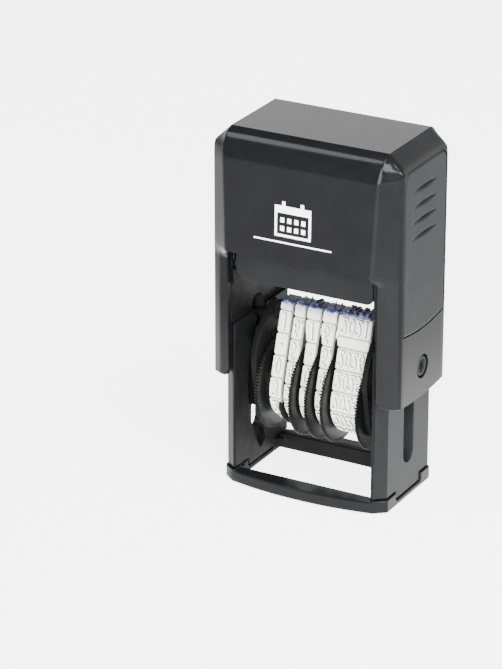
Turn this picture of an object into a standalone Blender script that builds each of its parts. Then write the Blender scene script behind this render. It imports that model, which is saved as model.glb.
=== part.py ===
"""Self inking date stamp: a cap that slides on a frame and turns the date unit from the pad to the paper.

Metres, +Z up, +Y to the back. The origin is on the surface the stamp stands on, under its middle.
The rest pose is the storage pose: the cap is up and the types face the ink pad.
"""
import math

import bmesh
import bpy
from mathutils import Matrix, Vector

# ---------------------------------------------------------------- driving dimensions
GAP = 0.0003                 # clearance between pieces that touch
RUN = 0.0003                 # radial clearance of a shaft in its hole
PAST = 0.001                 # how far a cutter runs past the wall it cuts

# Date unit
BAND_WIDTHS = (0.00275, 0.00245, 0.00245, 0.00245, 0.0068)   # day tens, day, month tens, month, year
SHOULDER_WIDTHS = (0.0011, 0.0, 0.0, 0.0, 0.0)               # plain hub between a disc and its band
DISC_ON_LEFT = (True, False, False, False, False)            # the side of each wheel its disc is on
BAND_PLAY = 0.0001           # band to the disc beside it
BAND_THICKNESS = 0.0013      # backing and raised types together
DISC_RADIUS = 0.0102         # thumb disc of a date wheel
DISC_THICKNESS = 0.0006
BAND_OUTER_RADIUS = 0.0076   # band surface where it runs round its wheel
NOSE_INNER_RADIUS = 0.0002   # inside of a band at the two edges of the type face
TYPE_FACE_DEPTH = 0.0024     # flat of the type face, front to back
TYPE_RADIUS = 0.0094         # from the swivel axle up to the type face
SHAFT_DROP = 0.0095          # from the swivel axle down to the wheel shaft
SHAFT_RADIUS = 0.0015
SHAFT_HEAD = 0.0007          # thickness of the shaft's head
SHAFT_HEAD_LIP = 0.0009      # head beyond the shaft, all round
SHAFT_TIP = 0.0002           # chamfer on the shaft's end
CLIP_RADIUS = 0.0026         # push-on clip that holds the shaft
CLIP_THICKNESS = 0.0004
CLIP_GRIP = 0.00005          # clip's bore to the shaft
SEPARATOR_RADIUS = 0.0083    # finger between the first two bands
SEPARATOR_THICKNESS = 0.0002
SEPARATOR_HUB_RADIUS = 0.0030
SEPARATOR_START = 196        # the finger's front and lower edge, in degrees round the wheel shaft
SEPARATOR_END = 262
BRIDGE_HEIGHT = 0.0034       # bar under the type face
BRIDGE_SPREAD = 0.0008       # bar wider at its foot, each side
BRIDGE_EDGE = 0.0004
CHEEK_THICKNESS = 0.0013
CHEEK_RADIUS = 0.0089        # front and back edge of a cheek about its middle
CHEEK_MIDDLE_DROP = 0.0028   # that middle below the swivel axle
AXLE_SHANK_RADIUS = 0.00175
AXLE_HEAD_RADIUS = 0.0022
AXLE_COLLAR_RADIUS = 0.0030
AXLE_COLLAR = 0.0009         # thickness of the collar against the cheek
AXLE_SETBACK = 0.0002        # axle's end inside the cap's side
AXLE_EYE_RADIUS = 0.0009     # blind hole in the end of the axle
AXLE_EYE_DEPTH = 0.0014
CAM_ARM = 0.0042             # from the swivel axle to the guide pin
CAM_PIN_RADIUS = 0.0011
CAM_GROOVE_DEPTH = 0.0012

# Travel
STROKE = 0.0195              # cap travel from rest to the paper
PAPER_CLEARANCE = 0.0001     # type face above the paper at the end of the stroke
PAD_LIFT = 0.0062            # types to the tray's rim: the last lift that inks the types

# Frame and foot
FRAME_DEPTH = 0.0224
FRAME_WALL = 0.0028
UPPER_WALL = 0.0018          # side wall where it is cut back above the ledge
SIDE_PLAY = 0.0010           # axle collar to the frame's side wall
CORNER_X = 0.0024            # chamfer on the frame's upright corners, across
CORNER_Y = 0.0019            # and front to back
LEDGE_DROP = 0.0033          # top of the thick part of the side walls, below the type face
RECESS_ROOF = 0.0013         # from the cut back part's top up to the tray
DECK_THICKNESS = 0.0014
SPRING_SEAT_HEIGHT = 0.0009
SPRING_SEAT_WALL = 0.0008
FOOT_CORNER_HEIGHT = 0.0027
FOOT_SIDE_HEIGHT = 0.0010
FOOT_SIDE_LENGTH = 0.0104    # length of the low stretch in the middle of each side
FOOT_BOW = 0.0018            # bulge of the foot's front and back bars
FOOT_BAR_HEIGHT = 0.0025
FOOT_RIM = 0.0003            # foot wider than the frame, each side
FRONT_BAR = 0.0022           # front of the frame to the print opening
BACK_BAR = 0.0033
SILL_HEIGHT = 0.0034
SILL_DEPTH = 0.0019
SILL_BASE = 0.0005           # underside of the sill and the webs, above the paper
CORNER_WEB = 0.0022          # web across each back corner of the print opening

# Ink pad
TRAY_HEIGHT = 0.0060
TRAY_WALL = 0.0016
TRAY_PLAY = 0.00015          # tray to the inner faces of the frame's thick walls
RUNNER_SETBACK = 0.0005      # runner's ends behind the tray's
TRAY_ROOF = 0.0013
TRAY_SETBACK = 0.0002        # tray's ends behind the frame's front and back
TRAY_CORNER = 0.0015
RUNNER_WIDTH = 0.0008
RUNNER_HEIGHT = 0.0014
PAD_RECESS = 0.0004          # pad face above the tray's rim
PAD_EDGE = 0.0006            # rounding of the felt's edges

# Cap
BLANK_DEPTH = 0.060          # front to back size of the block the cap is trimmed from
ARM_WALL = 0.0025
PANEL_WALL = 0.0015
PANEL_PLAY = 0.0010          # front and back panel to the frame
PANEL_TRAY_CLEARANCE = 0.0006
DRAFT = 0.0006               # front panel leans out by this over its height
ROOF = 0.0017
SPRING_ROOM = 0.0025         # deck to roof at the end of the stroke
CORNER_CHAMFER_X = 0.0041
CORNER_CHAMFER_Y = 0.0032
TOP_FACET_X = 0.0036
TOP_FACET_Z = 0.0034
ROLL_DEPTH = 0.0045          # rounding from the front panel to the top, front to back
ROLL_HEIGHT = 0.0053
ROLL_FACETS = 4
ARM_FLANGE_WIDTH = 0.0022
ARM_FLANGE_PROUD = 0.00055   # flange ahead of the frame's front
ARM_LAP = 0.0021             # flange over the frame's corner chamfer, beyond the arm's inner face
ARM_BELOW_AXLE = 0.0056
ARM_BOTTOM_BULGE = 0.0009
GRIP_THICKNESS = 0.0010
GRIP_MARGIN = 0.0007         # from the side's front and back edges to the grip panel's recess
GRIP_TOP_MARGIN = 0.0003     # from the top facet to the recess
GRIP_ABOVE_AXLE = 0.0092
GRIP_CORNER = 0.0012
RIB_COUNT = 4
RIB_PITCH = 0.0033
RIB_BELOW_TOP = 0.0049       # first finger groove below the grip panel's top
RIB_LENGTH = 0.0101
RIB_LENGTHENS = 0.0005       # each groove is this much longer than the one above
RIB_HEIGHT = 0.0012
RIB_DEPTH = 0.0005

# Return spring
WIRE = 0.0007
SPRING_BASE_RADIUS = 0.0080
SPRING_TOP_RADIUS = 0.0046
SPRING_TURNS = 5
SPRING_POINTS_PER_TURN = 12
SPRING_CUP_WALL = 0.0008
SPRING_CUP_HEIGHT = 0.0010

ROUND_STEPS = 36             # sides of a full circle

# ---------------------------------------------------------------- sizes worked out from them
DRUM_RADIUS = BAND_OUTER_RADIUS - BAND_THICKNESS - GAP
NOSE_RADIUS = NOSE_INNER_RADIUS + BAND_THICKNESS

wheel_widths = [width + shoulder + 2 * BAND_PLAY + DISC_THICKNESS
                for width, shoulder in zip(BAND_WIDTHS, SHOULDER_WIDTHS)]
WHEELS_WIDTH = sum(wheel_widths) + GAP * (len(wheel_widths) - 1)
CHEEK_INNER = WHEELS_WIDTH / 2 + GAP
CHEEK_OUTER = CHEEK_INNER + CHEEK_THICKNESS
COLLAR_OUTER = CHEEK_OUTER + GAP + AXLE_COLLAR

AXLE_Z = TYPE_RADIUS + STROKE + PAPER_CLEARANCE
SHAFT_Z = AXLE_Z - SHAFT_DROP
TYPE_Z = AXLE_Z + TYPE_RADIUS
NOSE_Z = TYPE_Z - NOSE_RADIUS
LEDGE_Z = TYPE_Z - LEDGE_DROP

INNER_HALF = COLLAR_OUTER + SIDE_PLAY
FRAME_HALF = INNER_HALF + FRAME_WALL
FRAME_FRONT = FRAME_DEPTH / 2
PRINT_OPENING_FRONT = FRAME_FRONT - FRONT_BAR
PRINT_OPENING_BACK = FRAME_FRONT - BACK_BAR
TRAY_Z = TYPE_Z + PAD_LIFT
TRAY_TOP = TRAY_Z + TRAY_HEIGHT
TRAY_HALF = INNER_HALF - TRAY_PLAY
BAY_HALF = TRAY_HALF + GAP
DECK_Z = TRAY_TOP + GAP
DECK_TOP = DECK_Z + DECK_THICKNESS
SLOT_HALF = AXLE_SHANK_RADIUS + RUN
SLOT_LOW = AXLE_Z - STROKE - SLOT_HALF
SLOT_HIGH = AXLE_Z + PAD_LIFT

CAP_INNER_HALF = FRAME_HALF + GAP
CAP_HALF = CAP_INNER_HALF + ARM_WALL
PANEL_Z = TRAY_TOP + PANEL_TRAY_CLEARANCE
PANEL_FACE = FRAME_FRONT + PANEL_PLAY + PANEL_WALL
ROOF_Z = DECK_TOP + STROKE + SPRING_ROOM
CAP_TOP = ROOF_Z + ROOF
CREASE_Z = CAP_TOP - ROLL_HEIGHT
CREASE_FACE = PANEL_FACE - DRAFT
SIDE_FACE = CREASE_FACE - CORNER_CHAMFER_Y
SIDE_TOP = CAP_TOP - TOP_FACET_Z
ARM_Z = AXLE_Z - ARM_BELOW_AXLE
GRIP_TOP = SIDE_TOP - GRIP_TOP_MARGIN
GRIP_Z = AXLE_Z + GRIP_ABOVE_AXLE
GRIP_HALF = SIDE_FACE - GRIP_MARGIN


# ---------------------------------------------------------------- collections and materials
def clear_scene():
    """Empty the scene of whatever it holds."""
    for item in list(bpy.data.objects):
        bpy.data.objects.remove(item, do_unlink=True)


def new_collection(name):
    """A collection in the scene."""
    collection = bpy.data.collections.new(name)
    bpy.context.scene.collection.children.link(collection)
    return collection


def new_material(name, colour, roughness, metallic=0.0):
    """A Principled material with one colour."""
    material = bpy.data.materials.new(name)
    material.use_nodes = True
    shader = material.node_tree.nodes["Principled BSDF"]
    shader.inputs["Base Color"].default_value = (*colour, 1.0)
    shader.inputs["Roughness"].default_value = roughness
    shader.inputs["Metallic"].default_value = metallic
    return material


clear_scene()
PARTS = new_collection("self_inking_date_stamp")
CUTTERS = new_collection("cutters")

GLOSS_BLACK = new_material("gloss_black_plastic", (0.018, 0.018, 0.020), 0.18)
SATIN_BLACK = new_material("satin_black_plastic", (0.022, 0.023, 0.025), 0.38)
MATTE_BLACK = new_material("matte_black_plastic", (0.012, 0.012, 0.013), 0.55)
BAND_RUBBER = new_material("cream_rubber", (0.80, 0.81, 0.76), 0.60)
INKED_FELT = new_material("inked_felt", (0.010, 0.020, 0.140), 0.90)
SPRING_STEEL = new_material("spring_steel", (0.55, 0.55, 0.57), 0.30, 1.0)


# ---------------------------------------------------------------- shape helpers
def add_object(name, mesh):
    """Link a mesh as an object of the stamp."""
    item = bpy.data.objects.new(name, mesh)
    PARTS.objects.link(item)
    return item


def from_bmesh(name, shape):
    """Turn a bmesh into an object with its faces pointing out."""
    bmesh.ops.recalc_face_normals(shape, faces=shape.faces[:])
    mesh = bpy.data.meshes.new(name)
    shape.to_mesh(mesh)
    shape.free()
    return add_object(name, mesh)


def bake(item):
    """Replace an object's mesh by its evaluated one and drop its modifiers."""
    graph = bpy.context.evaluated_depsgraph_get()
    mesh = bpy.data.meshes.new_from_object(item.evaluated_get(graph))
    item.modifiers.clear()
    item.data = mesh
    return item


def block(name, low, high):
    """A box between two corners."""
    shape = bmesh.new()
    bmesh.ops.create_cube(shape, size=1.0)
    size = Vector(high) - Vector(low)
    middle = (Vector(high) + Vector(low)) / 2
    bmesh.ops.transform(shape, matrix=Matrix.Translation(middle) @ Matrix.Diagonal((*size, 1.0)),
                        verts=shape.verts[:])
    return from_bmesh(name, shape)


PLANE_TURNS = {
    "XY": Matrix.Identity(4),
    "YZ": Matrix(((0, 0, 1, 0), (1, 0, 0, 0), (0, 1, 0, 0), (0, 0, 0, 1))),
    "XZ": Matrix(((1, 0, 0, 0), (0, 0, -1, 0), (0, 1, 0, 0), (0, 0, 0, 1))),
}


def plate(name, loops, plane, low, high):
    """A flat outline with any holes, drawn in a plane and given thickness from low to high.

    The thickness runs along Z for XY, along X for YZ, and along -Y for XZ.
    """
    curve = bpy.data.curves.new(name, "CURVE")
    curve.dimensions = "2D"
    curve.fill_mode = "BOTH"
    curve.extrude = (high - low) / 2
    for loop in loops:
        spline = curve.splines.new("POLY")
        spline.points.add(len(loop) - 1)
        for point, (across, along) in zip(spline.points, loop):
            point.co = (across, along, 0.0, 1.0)
        spline.use_cyclic_u = True
    outline = bpy.data.objects.new(name + "_outline", curve)
    CUTTERS.objects.link(outline)
    graph = bpy.context.evaluated_depsgraph_get()
    mesh = bpy.data.meshes.new_from_object(outline.evaluated_get(graph))
    bpy.data.objects.remove(outline)
    shape = bmesh.new()
    shape.from_mesh(mesh)
    bpy.data.meshes.remove(mesh)
    bmesh.ops.remove_doubles(shape, verts=shape.verts[:], dist=1e-6)
    turn = PLANE_TURNS[plane] @ Matrix.Translation((0.0, 0.0, (high + low) / 2))
    bmesh.ops.transform(shape, matrix=turn, verts=shape.verts[:])
    return from_bmesh(name, shape)


def turned(name, profile, closed, axle_z, steps=ROUND_STEPS):
    """A shape turned about a line along X at a height; the profile is (radius, x) from +X to -X."""
    mesh = bpy.data.meshes.new(name)
    edges = [(index, index + 1) for index in range(len(profile) - 1)]
    if closed:
        edges.append((len(profile) - 1, 0))
    mesh.from_pydata([(radius, 0.0, along) for radius, along in profile], edges, [])
    item = add_object(name, mesh)
    screw = item.modifiers.new("turn", "SCREW")
    screw.steps = steps
    screw.render_steps = steps
    screw.use_merge_vertices = True
    screw.merge_threshold = 1e-5
    item.rotation_euler = (0.0, math.pi / 2, 0.0)
    item.location = (0.0, 0.0, axle_z)
    bake(item)
    item.data.shade_smooth()
    item.data.set_sharp_from_angle(angle=math.radians(35))
    return item


def rod(name, radius, low, high, axle_y, axle_z, steps=ROUND_STEPS):
    """A round bar along X."""
    shape = bmesh.new()
    bmesh.ops.create_cone(shape, cap_ends=True, segments=steps, radius1=radius, radius2=radius,
                          depth=high - low)
    turn = Matrix.Translation(((low + high) / 2, axle_y, axle_z)) @ Matrix.Rotation(math.pi / 2, 4, "Y")
    bmesh.ops.transform(shape, matrix=turn, verts=shape.verts[:])
    return from_bmesh(name, shape)


def apply_boolean(target, tool, operation):
    """Cut or join a tool with a piece; the tool stays in the cutters' collection."""
    PARTS.objects.unlink(tool)
    CUTTERS.objects.link(tool)
    tool.hide_render = True
    tool.display_type = "WIRE"
    change = target.modifiers.new(operation.lower(), "BOOLEAN")
    change.operation = operation
    change.solver = "EXACT"
    change.object = tool


def cut(target, tool):
    """Take a tool's shape out of a piece."""
    apply_boolean(target, tool, "DIFFERENCE")


def join(target, tool):
    """Add a tool's shape to a piece."""
    apply_boolean(target, tool, "UNION")


def arc(centre, radius, start, end, count):
    """Points on an arc in degrees, both ends included."""
    points = []
    for index in range(count + 1):
        angle = math.radians(start + (end - start) * index / count)
        points.append((centre[0] + radius * math.cos(angle), centre[1] + radius * math.sin(angle)))
    return points


def rounded_box(half, low, high, radius, count=4):
    """Outline of a box with round corners, from -half to +half and from low to high."""
    return (arc((half - radius, low + radius), radius, -90, 0, count)
            + arc((half - radius, high - radius), radius, 0, 90, count)
            + arc((-half + radius, high - radius), radius, 90, 180, count)
            + arc((-half + radius, low + radius), radius, 180, 270, count))


def hull_outline(circles, count=48):
    """Outline of a belt stretched round circles given as (across, up, radius)."""
    points = []
    for index in range(count):
        angle = 2 * math.pi * index / count
        ahead = (math.cos(angle), math.sin(angle))
        reach = [circle[0] * ahead[0] + circle[1] * ahead[1] + circle[2] for circle in circles]
        across, up, radius = circles[reach.index(max(reach))]
        points.append((across + radius * ahead[0], up + radius * ahead[1]))
    return points


def trim(shape, point, normal):
    """Cut a convex bmesh by a plane and close it, keeping the side away from the normal."""
    geometry = shape.verts[:] + shape.edges[:] + shape.faces[:]
    result = bmesh.ops.bisect_plane(shape, geom=geometry, dist=1e-7, plane_co=point,
                                    plane_no=normal, clear_outer=True)
    rim = [item for item in result["geom_cut"] if isinstance(item, bmesh.types.BMEdge)]
    if rim:
        bmesh.ops.contextual_create(shape, geom=rim)


def finish(item, material, parent=None):
    """Give a piece its material and its moving parent."""
    item.data.materials.clear()
    item.data.materials.append(material)
    if parent is not None:
        item.parent = parent
        item.matrix_parent_inverse = Matrix.Translation(parent.location).inverted()
    return item


def pivot(name, location):
    """An empty on a joint's axis."""
    empty = bpy.data.objects.new(name, None)
    empty.location = location
    PARTS.objects.link(empty)
    return empty


# ---------------------------------------------------------------- frame and foot
def frame_outline():
    """Plan of the frame with its chamfered corners."""
    half = FRAME_HALF
    front = FRAME_FRONT
    return [(half - CORNER_X, -front), (half, CORNER_Y - front), (half, front - CORNER_Y),
            (half - CORNER_X, front), (CORNER_X - half, front), (-half, front - CORNER_Y),
            (-half, CORNER_Y - front), (CORNER_X - half, -front)]


def cam_groove_points(side_count=16):
    """Path of the guide pin past the frame, front to back and up, and on by the pin's own radius."""
    points = []
    for index in range(side_count + 1):
        share = index / side_count
        angle = math.pi * share
        points.append((-CAM_ARM * math.sin(angle),
                       AXLE_Z - STROKE * share + CAM_ARM * math.cos(angle)))
    last = Vector(points[-1])
    ahead = (last - Vector(points[-2])).normalized()
    points.append(tuple(last + ahead * (CAM_PIN_RADIUS + RUN)))
    return points


def cam_groove_outline():
    """The guide pin's path widened to a slot: one side down, then the other side up."""
    path = cam_groove_points()
    half = CAM_PIN_RADIUS + RUN
    left = []
    right = []
    for index, (across, up) in enumerate(path):
        before = path[max(index - 1, 0)]
        after = path[min(index + 1, len(path) - 1)]
        step = Vector((after[0] - before[0], after[1] - before[1])).normalized()
        left.append((across + half * step.y, up - half * step.x))
        right.append((across - half * step.y, up + half * step.x))
    return left + right[::-1]


def make_lower_frame():
    """Two side walls joined by the deck, with the tray's bay, the axle slots and the cam grooves."""
    frame = plate("lower_frame", [frame_outline()], "XY", FOOT_SIDE_HEIGHT + GAP, DECK_TOP)
    past = FRAME_FRONT + PAST
    cut(frame, block("window_cutter", (-INNER_HALF, -past, -PAST), (INNER_HALF, past, LEDGE_Z)))
    recess = FRAME_HALF - UPPER_WALL
    recess_top = TRAY_Z - RECESS_ROOF
    cut(frame, block("recess_cutter", (-recess, -past, LEDGE_Z - GAP), (recess, past, recess_top)))
    cut(frame, block("bay_cutter", (-BAY_HALF, -past, recess_top - GAP), (BAY_HALF, past, DECK_Z)))
    runner_half = TRAY_HALF + RUNNER_WIDTH + GAP
    runner_low = TRAY_Z + TRAY_HEIGHT / 2 - RUNNER_HEIGHT / 2 - GAP
    cut(frame, block("runner_cutter", (-runner_half, -past, runner_low),
                     (runner_half, past, runner_low + RUNNER_HEIGHT + 2 * GAP)))
    for side in (-1, 1):
        name = "left" if side < 0 else "right"
        slot = (arc((0.0, SLOT_LOW + SLOT_HALF), SLOT_HALF, 180, 360, 10)
                + arc((0.0, SLOT_HIGH), SLOT_HALF, 0, 180, 10))
        reach = sorted((side * (INNER_HALF - PAST), side * (FRAME_HALF + PAST)))
        cut(frame, plate(name + "_slot_cutter", [slot], "YZ", *reach))
        reach = sorted((side * (INNER_HALF - PAST), side * (INNER_HALF + CAM_GROOVE_DEPTH)))
        cut(frame, plate(name + "_cam_cutter", [cam_groove_outline()], "YZ", *reach))
        for end in (-1, 1):
            low = (side * (INNER_HALF - PAST), end * FOOT_SIDE_LENGTH / 2, 0.0)
            high = (side * (FRAME_HALF + PAST), end * past, FOOT_CORNER_HEIGHT + GAP)
            corners = [sorted(pair) for pair in zip(low, high)]
            cut(frame, block("foot_corner_cutter", [pair[0] for pair in corners],
                             [pair[1] for pair in corners]))
    seat_inner = SPRING_BASE_RADIUS + WIRE / 2 + GAP
    seat = [arc((0.0, 0.0), seat_inner + SPRING_SEAT_WALL, 0, 350, 35),
            arc((0.0, 0.0), seat_inner, 0, 350, 35)]
    join(frame, plate("spring_seat", seat, "XY", DECK_TOP - PAST, DECK_TOP + SPRING_SEAT_HEIGHT))
    return finish(bake(frame), SATIN_BLACK)


def foot_outline():
    """Plan of the foot: straight sides, chamfered corners, bowed front and back."""
    half = FRAME_HALF + FOOT_RIM
    front = FRAME_FRONT + FOOT_RIM
    shoulder = half - CORNER_X
    points = []
    for end in (-1, 1):
        for index in range(13):
            share = 1 - index / 6
            across = -end * shoulder * share
            bulge = FOOT_BOW * (1 - share * share)
            points.append((across, end * (front + bulge)))
        points.append((end * half, end * (front - CORNER_Y)))
        points.append((end * half, -end * (front - CORNER_Y)))
    return points


def make_base_ring():
    """The clip-on foot with the print opening, its corner blocks, the back sill and two corner webs."""
    ring = plate("base_ring", [foot_outline()], "XY", 0.0, FOOT_CORNER_HEIGHT)
    above = FOOT_CORNER_HEIGHT + PAST
    cut(ring, block("print_opening_cutter", (-INNER_HALF, -PRINT_OPENING_FRONT, -PAST),
                    (INNER_HALF, PRINT_OPENING_BACK, above)))
    half_low = FOOT_SIDE_LENGTH / 2 + GAP
    for side in (-1, 1):
        reach = sorted((side * (INNER_HALF - PAST), side * (FRAME_HALF + FOOT_RIM + PAST)))
        cut(ring, block("side_cutter", (reach[0], -half_low, FOOT_SIDE_HEIGHT),
                        (reach[1], half_low, above)))
    cut(ring, block("front_bar_cutter", (-INNER_HALF, -FRAME_FRONT - FOOT_BOW - PAST, FOOT_BAR_HEIGHT),
                    (INNER_HALF, 0.0, above)))
    sill_half = INNER_HALF - GAP
    join(ring, block("back_sill", (-sill_half, PRINT_OPENING_BACK, SILL_BASE),
                     (sill_half, PRINT_OPENING_BACK + SILL_DEPTH, SILL_HEIGHT)))
    for side in (-1, 1):
        corner = side * (INNER_HALF + GAP)
        back = PRINT_OPENING_BACK + GAP
        web = [(corner, back), (corner - side * CORNER_WEB, back), (corner, back - CORNER_WEB)]
        join(ring, plate("corner_web", [web[::side]], "XY", SILL_BASE - GAP / 2, FOOT_CORNER_HEIGHT - GAP))
    return finish(bake(ring), GLOSS_BLACK)


# ---------------------------------------------------------------- ink pad and spring
def make_ink_tray(parent):
    """The pad's tray: an open box, mouth down, with a runner on each side."""
    corner = TRAY_CORNER
    outline = (arc((TRAY_HALF - corner, TRAY_Z + corner), corner, -90, 0, 5)
               + [(TRAY_HALF, TRAY_TOP), (-TRAY_HALF, TRAY_TOP)]
               + arc((corner - TRAY_HALF, TRAY_Z + corner), corner, 180, 270, 5))
    end = FRAME_FRONT - TRAY_SETBACK
    tray = plate("ink_pad_tray", [outline], "XZ", -end, end)
    middle = TRAY_Z + TRAY_HEIGHT / 2
    runner = TRAY_HALF + RUNNER_WIDTH
    join(tray, block("runner_bar", (-runner, RUNNER_SETBACK - end, middle - RUNNER_HEIGHT / 2),
                     (runner, end - RUNNER_SETBACK, middle + RUNNER_HEIGHT / 2)))
    cut(tray, block("pad_cutter", (TRAY_WALL - TRAY_HALF, TRAY_WALL - end, TRAY_Z - PAST),
                    (TRAY_HALF - TRAY_WALL, end - TRAY_WALL, TRAY_TOP - TRAY_ROOF)))
    return finish(bake(tray), SATIN_BLACK, parent)


def make_ink_felt(parent):
    """The inked felt block in the tray."""
    half = TRAY_HALF - TRAY_WALL - GAP
    end = FRAME_FRONT - TRAY_SETBACK - TRAY_WALL - GAP
    felt = block("ink_pad_felt", (-half, -end, TRAY_Z + PAD_RECESS),
                 (half, end, TRAY_TOP - TRAY_ROOF - GAP))
    edge = felt.modifiers.new("soft edge", "BEVEL")
    edge.width = PAD_EDGE
    edge.segments = 2
    return finish(felt, INKED_FELT, parent)


def make_return_spring():
    """A conical spring whose turns nest flat in each other at the end of the stroke."""
    low = DECK_TOP + GAP + WIRE / 2
    high = ROOF_Z - GAP - WIRE / 2
    curve = bpy.data.curves.new("return_spring", "CURVE")
    curve.dimensions = "3D"
    curve.bevel_depth = WIRE / 2
    curve.bevel_resolution = 2
    curve.use_fill_caps = True
    count = SPRING_TURNS * SPRING_POINTS_PER_TURN
    spline = curve.splines.new("POLY")
    spline.points.add(count)
    for index, point in enumerate(spline.points):
        share = index / count
        angle = 2 * math.pi * SPRING_TURNS * share
        radius = SPRING_BASE_RADIUS + (SPRING_TOP_RADIUS - SPRING_BASE_RADIUS) * share
        point.co = (radius * math.cos(angle), radius * math.sin(angle), low + (high - low) * share, 1.0)
    spring = bpy.data.objects.new("return_spring", curve)
    PARTS.objects.link(spring)
    return finish(spring, SPRING_STEEL)


# ---------------------------------------------------------------- cap
def cap_block(name, bottom, side_inset, face_inset, top_inset):
    """The cap's convex outer form, or its hollow when the insets are wall thicknesses."""
    half = CAP_HALF - side_inset
    shape = bmesh.new()
    bmesh.ops.create_cube(shape, size=1.0)
    size = Vector((2 * half, BLANK_DEPTH, CAP_TOP - top_inset - bottom))
    middle = Vector((0.0, 0.0, (CAP_TOP - top_inset + bottom) / 2))
    bmesh.ops.transform(shape, matrix=Matrix.Translation(middle) @ Matrix.Diagonal((*size, 1.0)),
                        verts=shape.verts[:])
    height = CREASE_Z - PANEL_Z
    planes = [((0.0, -CREASE_FACE, CREASE_Z), (0.0, -height, DRAFT))]
    previous = (CREASE_FACE, CREASE_Z)
    for index in range(1, ROLL_FACETS + 1):
        angle = math.pi / 2 * index / ROLL_FACETS
        point = (CREASE_FACE - ROLL_DEPTH + ROLL_DEPTH * math.cos(angle),
                 CREASE_Z + ROLL_HEIGHT * math.sin(angle))
        planes.append(((0.0, -previous[0], previous[1]),
                       (0.0, previous[1] - point[1], previous[0] - point[0])))
        previous = point
    planes.append(((CAP_HALF, -SIDE_FACE, 0.0), (CORNER_CHAMFER_Y, -CORNER_CHAMFER_X, 0.0)))
    for point, normal in planes:
        out = Vector(normal).normalized()
        for side in (-1, 1):
            for end in (-1, 1):
                mirrored = Vector((out.x * side, out.y * end, out.z))
                place = Vector((point[0] * side, point[1] * end, point[2])) - mirrored * face_inset
                if side > 0 or out.x > 0:
                    trim(shape, place, mirrored)
    for side in (-1, 1):
        out = Vector((TOP_FACET_Z * side, 0.0, TOP_FACET_X)).normalized()
        trim(shape, Vector((CAP_HALF * side, 0.0, SIDE_TOP)) - out * top_inset, out)
    return from_bmesh(name, shape)


def arm_outline(side):
    """Plan of one arm: it wraps the frame's side and laps the two chamfered corners."""
    flange = FRAME_FRONT + ARM_FLANGE_PROUD
    inner = CAP_INNER_HALF
    lap = inner - ARM_LAP
    chamfer_at_lap = FRAME_FRONT - CORNER_Y * (lap - FRAME_HALF + CORNER_X) / CORNER_X + GAP * 0.8
    flange_outer = lap + ARM_FLANGE_WIDTH
    shoulder = FRAME_FRONT - CORNER_Y
    half = [(lap, -flange), (flange_outer, -flange), (CAP_HALF, -SIDE_FACE), (CAP_HALF, SIDE_FACE),
            (flange_outer, flange), (lap, flange), (lap, chamfer_at_lap), (inner, shoulder),
            (inner, -shoulder), (lap, -chamfer_at_lap)]
    return [(side * across, along) for across, along in half][::side]


def grip_outline(inset):
    """Side view of a grip panel: square above, bulging below, round corners."""
    half = GRIP_HALF - inset
    top = GRIP_TOP - inset
    low = GRIP_Z + inset
    bulge = [(half * (index / 4 - 1), low - ARM_BOTTOM_BULGE * (1 - (index / 4 - 1) ** 2))
             for index in range(9)]
    return (bulge + arc((half - GRIP_CORNER, top - GRIP_CORNER), GRIP_CORNER, 0, 90, 4)
            + arc((GRIP_CORNER - half, top - GRIP_CORNER), GRIP_CORNER, 90, 180, 4))


def make_cap_shell(parent):
    """The press cap: a hollow block over the frame with two arms that carry the swivel axle."""
    cap = cap_block("cap_shell", PANEL_Z, 0.0, 0.0, 0.0)
    cut(cap, cap_block("cap_hollow", PANEL_Z - 5 * PAST, ARM_WALL, PANEL_WALL, ROOF))
    for side in (-1, 1):
        join(cap, plate("arm", [arm_outline(side)], "XY", ARM_Z - ARM_BOTTOM_BULGE - PAST, PANEL_Z + GAP))
        reach = sorted((side * (CAP_HALF - GRIP_THICKNESS - GAP), side * (CAP_HALF + PAST)))
        cut(cap, plate("grip_recess", [grip_outline(0.0)], "YZ", *reach))
        reach = sorted((side * (CAP_INNER_HALF - PAST), side * (CAP_HALF + PAST)))
        cut(cap, rod("axle_bore", AXLE_HEAD_RADIUS + RUN, *reach, 0.0, AXLE_Z))
    edge = FRAME_FRONT + ARM_FLANGE_PROUD + PAST
    under = [(edge * (index / 6 - 1), ARM_Z - ARM_BOTTOM_BULGE * (1 - (index / 6 - 1) ** 2))
             for index in range(13)]
    floor = ARM_Z - ARM_BOTTOM_BULGE - 2 * PAST
    under += [(edge, floor), (-edge, floor)]
    cut(cap, plate("arm_bottom_cutter", [under], "YZ", -CAP_HALF - PAST, CAP_HALF + PAST))
    cup_outer = SPRING_TOP_RADIUS - WIRE / 2 - GAP
    cup = [arc((0.0, 0.0), cup_outer, 0, 350, 35),
           arc((0.0, 0.0), cup_outer - SPRING_CUP_WALL, 0, 350, 35)]
    join(cap, plate("spring_cup", cup, "XY", ROOF_Z - SPRING_CUP_HEIGHT, ROOF_Z + PAST))
    return finish(bake(cap), GLOSS_BLACK, parent)


def make_grip_panel(side, parent):
    """A grip panel let into the cap's side, with finger grooves across it."""
    name = "left_grip_panel" if side < 0 else "right_grip_panel"
    reach = sorted((side * (CAP_HALF - GRIP_THICKNESS), side * CAP_HALF))
    panel = plate(name, [grip_outline(GAP)], "YZ", *reach)
    for index in range(RIB_COUNT):
        middle = GRIP_TOP - RIB_BELOW_TOP - RIB_PITCH * index
        half = (RIB_LENGTH + RIB_LENGTHENS * index) / 2
        groove = rounded_box(half, middle - RIB_HEIGHT / 2, middle + RIB_HEIGHT / 2, RIB_HEIGHT * 0.45, 3)
        depth = sorted((side * (CAP_HALF - RIB_DEPTH), side * (CAP_HALF + PAST)))
        cut(panel, plate("finger_groove", [groove], "YZ", *depth))
    return finish(bake(panel), SATIN_BLACK, parent)


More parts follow.
